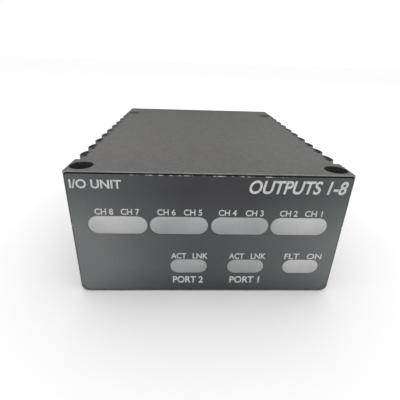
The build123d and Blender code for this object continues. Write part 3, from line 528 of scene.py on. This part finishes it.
def loft(bm, rings, closed_ends=True):
    """Skins a list of rings of points, each with as many points as the next, into a closed solid."""
    made = [[bm.verts.new(point) for point in ring] for ring in rings]
    for lower, upper in zip(made, made[1:]):
        for index in range(len(lower)):
            bm.faces.new((lower[index - 1], lower[index], upper[index], upper[index - 1]))
    if closed_ends:
        bm.faces.new(made[0])
        bm.faces.new(made[-1])
    else:
        for index in range(len(made[0])):
            bm.faces.new((made[-1][index - 1], made[-1][index], made[0][index], made[0][index - 1]))


def prism(bm, outline, low, high, put=upright):
    """Adds an outline of (u, v) points made thick from low to high."""
    loft(bm, [[put(u, v, h) for u, v in outline] for h in (low, high)])


def block(bm, centre, size, low, high):
    """Adds an upright rectangular block, centred in plan."""
    (x, y), (wide, deep) = centre, (size[0] / 2, size[1] / 2)
    corners = [(x - wide, y - deep), (x + wide, y - deep), (x + wide, y + deep), (x - wide, y + deep)]
    prism(bm, corners, low, high)


def ring_points(centre, radius, sides):
    """The corners of a regular outline, close to a circle."""
    turns = [2 * math.pi * index / sides for index in range(sides)]
    return [(centre[0] + radius * math.cos(turn), centre[1] + radius * math.sin(turn)) for turn in turns]


def washer(bm, centre, inner, outer, low, high, sides=16):
    """Adds a flat ring."""
    steps = ((outer, low), (outer, high), (inner, high), (inner, low))
    loft(bm, [[(x, y, z) for x, y in ring_points(centre, radius, sides)] for radius, z in steps], False)


def turned(bm, centre, profile, sides=40):
    """Adds a solid turned about an upright line, from (radius, height) pairs, lowest first."""
    loft(bm, [[(x, y, z) for x, y in ring_points(centre, radius, sides)] for radius, z in profile])


# ---- Circuit boards: leads, passives, copper and print --------------------------------------------

BOARD_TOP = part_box("processor_board")[1].z
OUTPUT_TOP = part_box("output_board")[1].z
COPPER = 0.045 * MM
LEAD = 0.16 * MM


def trace_green():
    """Solder mask where it lies over copper: paler, and raised a little."""
    g = Graph("trace_green", Roughness=0.3, Coat_Weight=0.3, Coat_Roughness=0.2)
    g.colour(g.mix(g.remap(g.noise(900, 2), 0.3, 0.7), (0.016, 0.125, 0.048), (0.024, 0.165, 0.066)))
    g.roughness(g.varied(500, 3, 0.22, 0.36))
    g.bump(g.noise(2000, 2), 0.008 * MM, 0.4)
    return g.material


def ceramic_tan():
    """Fired ceramic of a chip capacitor."""
    g = Graph("ceramic_tan", Roughness=0.5)
    g.colour(g.mix(g.remap(g.noise(1500, 3), 0.3, 0.7), (0.30, 0.20, 0.12), (0.42, 0.30, 0.19)))
    g.roughness(g.varied(2500, 2, 0.42, 0.6))
    g.bump(g.noise(4000, 2), 0.01 * MM, 0.4)
    return g.material


TRACE = trace_green()
CERAMIC = ceramic_tan()


def add_leads(bm, box, board_top, pitch, count, sides, width, reach):
    """Gull-wing leads down the named sides of one chip, each ending in a foot on the board."""
    low, high = box
    middle = (low + high) / 2
    shoulder = (high.z - board_top) * 0.5
    profile = [
        (-0.3 * MM, shoulder + LEAD), (reach * 0.34, shoulder + LEAD), (reach * 0.62, LEAD), (reach, LEAD),
        (reach, 0), (reach * 0.5, 0), (reach * 0.22, shoulder), (-0.3 * MM, shoulder),
    ]
    outward_of = {"left": (-1, 0), "right": (1, 0), "front": (0, -1), "back": (0, 1)}
    for side in sides:
        dx, dy = outward_of[side]
        edge = ((high.x - low.x) / 2, (high.y - low.y) / 2)
        for index in range(count):
            along = (index - (count - 1) / 2) * pitch

            def put(u, v, h):
                x = middle.x + dx * (edge[0] + u) - dy * (along + h)
                y = middle.y + dy * (edge[1] + u) + dx * (along + h)
                return (x, y, board_top + v)

            prism(bm, profile, -width / 2, width / 2, put)


def lead_frames(name, node, board_top, pitch, count, sides, width=0.3 * MM, reach=1.1 * MM):
    """The leads of every chip in a node, as one piece."""
    bm = bmesh.new()
    for box in solids(node):
        add_leads(bm, box, board_top, pitch, count, sides, width, reach)
    return finish_piece(name, bm, "tinned_steel")


# Each node's board, pitch, leads a side and sides, then the leads' width and reach.
ALL_SIDES = ("left", "right", "front", "back")
lead_frames("logic_chip_leads", "logic_chip", BOARD_TOP, 0.8 * MM, 22, ALL_SIDES, 0.34 * MM, 1.3 * MM)
lead_frames("memory_chip_leads", "memory_chips", BOARD_TOP, 0.9 * MM, 11, ("front", "back"), 0.36 * MM)
lead_frames("network_chip_leads", "network_chips", BOARD_TOP, 0.65 * MM, 9, ALL_SIDES, 0.26 * MM, 0.8 * MM)
lead_frames("transformer_leads", "network_transformers", BOARD_TOP, 1.5 * MM, 8, ("front", "back"), 0.55 * MM)
lead_frames("converter_chip_leads", "converter_chip", OUTPUT_TOP, 0.65 * MM, 18, ALL_SIDES, 0.26 * MM)
lead_frames("driver_chip_leads", "driver_chips", OUTPUT_TOP, 1.27 * MM, 4, ("front", "back"), 0.42 * MM)


def offset_line(points, shift):
    """A polyline moved sideways by shift, its corners kept sharp."""
    moved = []
    for index, point in enumerate(points):
        before = points[max(index - 1, 0)]
        after = points[min(index + 1, len(points) - 1)]
        ways = [(point - before), (after - point)]
        normals = [Vector((-way.y, way.x)).normalized() for way in ways if way.length > 0]
        normal = (normals[0] + normals[-1]).normalized()
        moved.append(point + normal * shift / normal.dot(normals[0]))
    return moved


def bundle(bm, points, count, pitch=0.5 * MM, width=0.24 * MM):
    """A bus of parallel traces along a route given in millimetres."""
    route = [Vector(point) * MM for point in points]
    for index in range(count):
        shift = (index - (count - 1) / 2) * pitch
        left = offset_line(route, shift + width / 2)
        right = offset_line(route, shift - width / 2)
        prism(bm, [tuple(p) for p in left + right[::-1]], BOARD_TOP, BOARD_TOP + COPPER)


copper = bmesh.new()
# Processor to logic chip, and the two runs from the lamp-board header.
bundle(copper, [(-1.0, -27.0), (1.5, -27.0), (3.0, -25.5), (4.4, -25.5)], 11)
bundle(copper, [(8.0, -45.6), (8.0, -43.0), (12.0, -39.0), (12.0, -37.0)], 10)
bundle(copper, [(-8.0, -45.6), (-8.0, -43.0), (-13.0, -38.0), (-13.0, -35.0)], 10)
# Logic chip down the right-hand side, and header down the left-hand side.
bundle(copper, [(26.0, -30.0), (28.5, -30.0), (33.5, -25.0), (33.5, 4.0), (34.6, 5.1), (34.6, 20.0)], 4)
bundle(copper, [(-14.0, -43.5), (-20.0, -43.5), (-27.0, -36.5), (-33.4, -30.1), (-33.4, -2.0)], 4)
# Short traces behind each memory chip.
for low, high in solids("memory_chips"):
    x = (low.x + high.x) / 2 / MM
    bundle(copper, [(x, 4.6), (x, 8.4)], 7, 0.6 * MM)
# Network chips to transformers, and transformers to the sockets.
for low, high in solids("network_chips"):
    x = (low.x + high.x) / 2 / MM
    bundle(copper, [(x, 17.4), (x, 20.4)], 6, 0.9 * MM, 0.3 * MM)
    bundle(copper, [(x, 32.7), (x, 36.4)], 6, 1.2 * MM, 0.4 * MM)
# Wide supply runs from the inlet past the capacitors to the inductors.
bundle(copper, [(17.2, 40.5), (17.2, 37.0), (14.2, 34.0), (14.2, 22.0)], 2, 2.2 * MM, 1.6 * MM)
bundle(copper, [(21.4, 40.5), (21.4, 37.5), (25.0, 33.9), (27.6, 31.3), (27.6, 21.0)], 2, 2.0 * MM, 1.5 * MM)
finish_piece("board_traces", copper, "board_green", material=TRACE)

COMPONENTS = [
    "heat_sink", "logic_chip", "memory_chips", "network_chips", "network_transformers", "power_converter",
    "power_inductors", "filter_capacitors", "led_board_header", "board_screws", "jack_1_shield",
    "jack_2_shield", "power_header", "power_pins",
]
KEEP_CLEAR = 1.9 * MM
BOARD_RIM = 2 * MM
SOCKET_ROOM = 22 * MM
taken = [box for node in COMPONENTS for box in solids(node)]


def is_clear(x, y, margin):
    """Whether a spot on the processor board is on the board and clear of every component."""
    low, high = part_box("processor_board")
    if not low.x + BOARD_RIM < x < high.x - BOARD_RIM:
        return False
    if not low.y + BOARD_RIM < y < high.y - SOCKET_ROOM:
        return False
    return not any(a.x - margin < x < b.x + margin and a.y - margin < y < b.y + margin for a, b in taken)


def chip_passive(bodies, ends, x, y, along_x, long, wide, tall):
    """One chip resistor or capacitor: a ceramic body between two plated ends on their solder pads."""
    size = (long, wide) if along_x else (wide, long)
    block(bodies, (x, y), size, BOARD_TOP + 0.03 * MM, BOARD_TOP + tall)
    for side in (-1, 1):
        shift = side * long * 0.39
        centre = (x + shift, y) if along_x else (x, y + shift)
        cap = (long * 0.26, wide * 1.05) if along_x else (wide * 1.05, long * 0.26)
        pad = (cap[0] * 1.5, cap[1] * 1.2) if along_x else (cap[0] * 1.2, cap[1] * 1.5)
        block(ends, centre, cap, BOARD_TOP, BOARD_TOP + tall * 1.04)
        block(ends, centre, pad, BOARD_TOP, BOARD_TOP + 0.06 * MM)


# A grid of spots between the components: on each there is a resistor, a capacitor, a pair of vias or nothing.
SPOT_PITCH = 2.54 * MM
PASSIVE_LONG = 1.6 * MM
PASSIVE_WIDE = 0.8 * MM
RESISTOR_TALL = 0.45 * MM
CAPACITOR_TALL = 0.75 * MM
VIA_HOLE = 0.16 * MM
VIA_RADIUS = 0.34 * MM
# A draw under the first share places a resistor, under the second a capacitor, and under the third vias.
RESISTOR_SHARE, CAPACITOR_SHARE, VIA_SHARE = 0.34, 0.62, 0.85
random.seed(SEED)
resistors, capacitors, plated_ends, vias = bmesh.new(), bmesh.new(), bmesh.new(), bmesh.new()
board_low, board_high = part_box("processor_board")
columns = int((board_high.x - board_low.x) / SPOT_PITCH)
rows = int((board_high.y - board_low.y) / SPOT_PITCH)
for row in range(rows):
    for column in range(columns):
        x = board_low.x + (column + 0.5) * SPOT_PITCH
        y = board_low.y + (row + 0.5) * SPOT_PITCH
        if not is_clear(x, y, KEEP_CLEAR):
            continue
        draw = random.random()
        along_x = row % 4 < 2
        if draw < RESISTOR_SHARE:
            chip_passive(resistors, plated_ends, x, y, along_x, PASSIVE_LONG, PASSIVE_WIDE, RESISTOR_TALL)
        elif draw < CAPACITOR_SHARE:
            chip_passive(capacitors, plated_ends, x, y, along_x, PASSIVE_LONG, PASSIVE_WIDE, CAPACITOR_TALL)
        elif draw < VIA_SHARE:
            for dx, dy in ((-0.6, 0.0), (0.6, 0.5)):
                centre = (x + dx * MM, y + dy * MM)
                washer(vias, centre, VIA_HOLE, VIA_RADIUS, BOARD_TOP, BOARD_TOP + 0.05 * MM, 12)
# A plated ring under the head of each board screw.
for low, high in solids("board_screws"):
    middle = (low + high) / 2
    washer(vias, (middle.x, middle.y), 1.4 * MM, 3.1 * MM, BOARD_TOP, BOARD_TOP + 0.04 * MM, 32)
finish_piece("chip_resistors", resistors, "chip_black")
finish_piece("chip_capacitors", capacitors, "ferrite_grey", material=CERAMIC)
finish_piece("chip_part_ends", plated_ends, "tinned_steel")
finish_piece("board_vias", vias, "gold_contact")


def frame_outline(bm, low, high, margin, line=0.16 * MM):
    """A printed rectangle round a component."""
    x0, y0, x1, y1 = low.x - margin, low.y - margin, high.x + margin, high.y + margin
    middle = ((x0 + x1) / 2, (y0 + y1) / 2)
    for centre, size in (
        ((middle[0], y0), (x1 - x0 + line, line)), ((middle[0], y1), (x1 - x0 + line, line)),
        ((x0, middle[1]), (line, y1 - y0 - line)), ((x1, middle[1]), (line, y1 - y0 - line)),
    ):
        block(bm, centre, size, BOARD_TOP, BOARD_TOP + 0.06 * MM)


silk = bmesh.new()
for node, margin in (("logic_chip", 1.6), ("memory_chips", 1.45), ("network_chips", 1.1),
                     ("network_transformers", 1.4), ("power_converter", 0.6), ("power_inductors", 0.7),
                     ("filter_capacitors", 0.6)):
    for low, high in solids(node):
        frame_outline(silk, low, high, margin * MM)
finish_piece("board_print", silk, None, material=INK)

# Pin-one dots on the chips.
dots = bmesh.new()
for node in ("logic_chip", "memory_chips", "network_chips"):
    for low, high in solids(node):
        centre = (low.x + 1.5 * MM, high.y - 1.5 * MM)
        turned(dots, centre, [(0.45 * MM, high.z - 0.05 * MM), (0.45 * MM, high.z + 0.015 * MM),
                              (0.25 * MM, high.z + 0.02 * MM)], 20)
finish_piece("chip_dots", dots, "ferrite_grey")


# ---- Filter capacitors and inductors ------------------------------------------------------------

BASE_HEIGHT = 0.9 * MM
BEAD_HEIGHT = 2.6 * MM
BEAD_DEPTH = 0.42 * MM
ROLLED_EDGE = 0.6 * MM
MARK_RADIUS = 2.6 * MM
VENT_SIZE = (4.6 * MM, 0.14 * MM)


def can_profile(radius, low, high):
    """Half the outline of a capacitor's can: a rolled-in bead near its foot, and a rolled top edge."""
    outline = [(radius - 0.35 * MM, low + 0.5 * MM), (radius, low + 0.95 * MM)]
    for step in range(9):
        sunk = BEAD_DEPTH * math.sin(math.pi * step / 8)
        outline.append((radius - sunk, low + BEAD_HEIGHT + (step - 4) * 0.14 * MM))
    for step in range(7):
        turn = math.pi / 2 * step / 6
        fall = 0.08 * MM + ROLLED_EDGE * (1 - math.sin(turn))
        outline.append((radius - ROLLED_EDGE * (1 - math.cos(turn)), high - fall))
    return outline + [(radius - 0.85 * MM, high - 0.14 * MM), (radius - 1.3 * MM, high - 0.16 * MM)]


cans, bases, marks = bmesh.new(), bmesh.new(), bmesh.new()
for low, high in solids("filter_capacitors"):
    x, y = (low.x + high.x) / 2, (low.y + high.y) / 2
    radius = (high.x - low.x) / 2
    # A square base with two corners cut off.
    inset = radius * 0.62
    corner = radius - 0.02 * MM
    prism(bases, [
        (x - corner, y - corner), (x + corner, y - corner), (x + corner, y + inset), (x + inset, y + corner),
        (x - inset, y + corner), (x - corner, y + inset),
    ], low.z, low.z + BASE_HEIGHT)
    turned(cans, (x, y), can_profile(radius - 0.12 * MM, low.z, high.z), 56)
    # Polarity marking, a printed segment, and the pressure vent's scored cross.
    top = high.z - 0.16 * MM
    turns = [math.radians(35 + 110 * step / 14) for step in range(15)]
    segment = [(x + MARK_RADIUS * math.cos(turn), y + MARK_RADIUS * math.sin(turn)) for turn in turns]
    prism(marks, segment, top - 0.02 * MM, top + 0.02 * MM)
    for size in (VENT_SIZE, VENT_SIZE[::-1]):
        block(marks, (x, y), size, top - 0.02 * MM, top + 0.015 * MM)
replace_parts(finish_piece("capacitor_cans", cans, "capacitor_sleeve", smooth=True), "filter_capacitors")
finish_piece("capacitor_bases", bases, "black_plastic")
finish_piece("capacitor_marks", marks, "black_plastic")

# The ferrite core of each inductor shows in the middle of its top, inside a shallow ring.
cores = bmesh.new()
for low, high in solids("power_inductors"):
    centre = ((low.x + high.x) / 2, (low.y + high.y) / 2)
    profile = [(3.9 * MM, high.z - 0.1 * MM), (3.9 * MM, high.z + 0.12 * MM), (3.7 * MM, high.z + 0.2 * MM)]
    turned(cores, centre, profile)
    washer(cores, centre, 4.3 * MM, 4.7 * MM, high.z - 0.1 * MM, high.z + 0.08 * MM, 40)
finish_piece("inductor_cores", cores, "chip_black")


# ---- Threads, and the connectors' small features ------------------------------------------------

THREAD_PITCH = 0.7 * MM
THREAD_DEPTH = 0.36 * MM
THREAD_SIDES = 36
STEPS_PER_TURN = 10
STUD_RADIUS = 2.0 * MM
HEAD_CHAMFER = 0.15 * MM
TIP_CHAMFER = 0.5 * MM


def threaded_stud(side):
    """A stud with its real helical thread, in place of the plain one: the head stays behind the plate."""
    node = f"mounting_stud_{side}"
    low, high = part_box(node)
    centre_x, centre_z = (low.x + high.x) / 2, (low.z + high.z) / 2
    plate_low, plate_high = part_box("rear_plate")
    bm = bmesh.new()
    turns = [2 * math.pi * index / THREAD_SIDES for index in range(THREAD_SIDES)]

    def ring(radius_at, y):
        points = []
        for turn in turns:
            radius = radius_at(turn)
            points.append((centre_x + radius * math.cos(turn), y, centre_z + radius * math.sin(turn)))
        return points

    def round_ring(radius, y):
        return ring(lambda turn: radius, y)

    head = (high.x - low.x) / 2
    loft(bm, [round_ring(head - HEAD_CHAMFER, low.y), round_ring(head, low.y + HEAD_CHAMFER),
              round_ring(head, plate_low.y - 0.02 * MM)])
    start = plate_low.y - 0.05 * MM
    step = THREAD_PITCH / STEPS_PER_TURN
    rings = []
    for index in range(int((high.y - start) / step) + 1):
        y = min(start + index * step, high.y)
        # The groove deepens as it leaves the plate, and the tip is chamfered.
        ramp = min(1.0, max(0.0, (y - plate_high.y + 0.6 * MM) / (0.8 * MM)))
        tip = max(0.0, y - high.y + TIP_CHAMFER)

        def radius_at(turn, y=y, ramp=ramp, tip=tip):
            phase = (y / THREAD_PITCH - turn / (2 * math.pi)) % 1.0
            groove = THREAD_DEPTH * min(1.0, max(0.0, 1.15 - abs(phase - 0.5) * 2.6))
            return STUD_RADIUS - groove * ramp - tip

        rings.append(ring(radius_at, y))
    rings.append(round_ring(STUD_RADIUS - THREAD_DEPTH - 0.6 * MM, high.y))
    loft(bm, rings)
    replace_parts(finish_piece(f"threaded_stud_{side}", bm, "bright_steel"), node)


for side in ("left", "right"):
    threaded_stud(side)


# Bumps that grip the mating shell, along both long sides of the D connector.
BUMP_COUNT = 7
BUMP_PITCH = 7.4 * MM
BUMP_PROFILE = ((1.1 * MM, -0.2 * MM), (1.0 * MM, 0.02 * MM), (0.8 * MM, 0.16 * MM), (0.4 * MM, 0.26 * MM))
SHELL_HALF_HEIGHT = 4.2 * MM
FLANGE_THICKNESS = 0.8 * MM
bumps = bmesh.new()
shell_low, shell_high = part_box("dsub_shell")
flange_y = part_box("rear_plate")[1].y + FLANGE_THICKNESS
bump_y = (flange_y + shell_high.y) / 2
middle_z = (shell_low.z + shell_high.z) / 2
for way in (1, -1):
    face_z = middle_z + way * SHELL_HALF_HEIGHT
    for index in range(BUMP_COUNT):
        x = (index - (BUMP_COUNT - 1) / 2) * BUMP_PITCH
        loft(bumps, [[(u, v, face_z + way * lift) for u, v in ring_points((x, bump_y), radius, 20)]
                     for radius, lift in BUMP_PROFILE])
finish_piece("dsub_shell_bumps", bumps, "tinned_steel", smooth=True)


# ---- Stage, light and camera --------------------------------------------------------------------

def floor_material():
    """Plain and pale, hardly mottled."""
    g = Graph("floor", Roughness=0.9, Specular_IOR_Level=0.1)
    g.colour(g.mix(g.remap(g.noise(40, 2), 0.3, 0.7), (0.975, 0.975, 0.975), (0.985, 0.985, 0.985)))
    return g.material


FLOOR_SIDE = 12.0
mesh = bpy.data.meshes.new("floor")
half = FLOOR_SIDE / 2
mesh.from_pydata([(-half, -half, 0), (half, -half, 0), (half, half, 0), (-half, half, 0)], [], [(0, 1, 2, 3)])
mesh.materials.append(floor_material())
floor = bpy.data.objects.new("floor", mesh)
bpy.context.scene.collection.objects.link(floor)

world = bpy.data.worlds.new("soft_white")
world.use_nodes = True
world.node_tree.nodes["Background"].inputs["Color"].default_value = (1, 1, 1, 1)
world.node_tree.nodes["Background"].inputs["Strength"].default_value = 1.0
bpy.context.scene.world = world

# One wide, weak lamp behind and above, aimed at the module: place and side in metres, power in watts.
LAMP_PLACE = Vector((0.1, 0.25, 0.7))
LAMP_SIDE = 0.8
LAMP_POWER = 1.0
lamp_data = bpy.data.lights.new("key", "AREA")
lamp_data.size = LAMP_SIDE
lamp_data.energy = LAMP_POWER
lamp = bpy.data.objects.new("key", lamp_data)
lamp.location = LAMP_PLACE
lamp.rotation_euler = (-LAMP_PLACE).to_track_quat("-Z", "Y").to_euler()
bpy.context.scene.collection.objects.link(lamp)

# Where the photograph was taken from: place in metres, turn in degrees, lens and sensor in millimetres.
CAMERA_PLACE = (-7.0 * MM, -139.0 * MM, 70.6 * MM)
CAMERA_TURN = (64.83, -1.77, -1.96)
FOCAL_LENGTH = 27.03
SENSOR_WIDTH = 36.0
camera_data = bpy.data.cameras.new("camera")
camera_data.sensor_width = SENSOR_WIDTH
camera_data.lens = FOCAL_LENGTH
camera_data.clip_start = 1 * MM
camera = bpy.data.objects.new("camera", camera_data)
camera.location = CAMERA_PLACE
camera.rotation_euler = [math.radians(angle) for angle in CAMERA_TURN]
bpy.context.scene.collection.objects.link(camera)
bpy.context.scene.camera = camera
bpy.context.scene.view_settings.view_transform = "Standard"
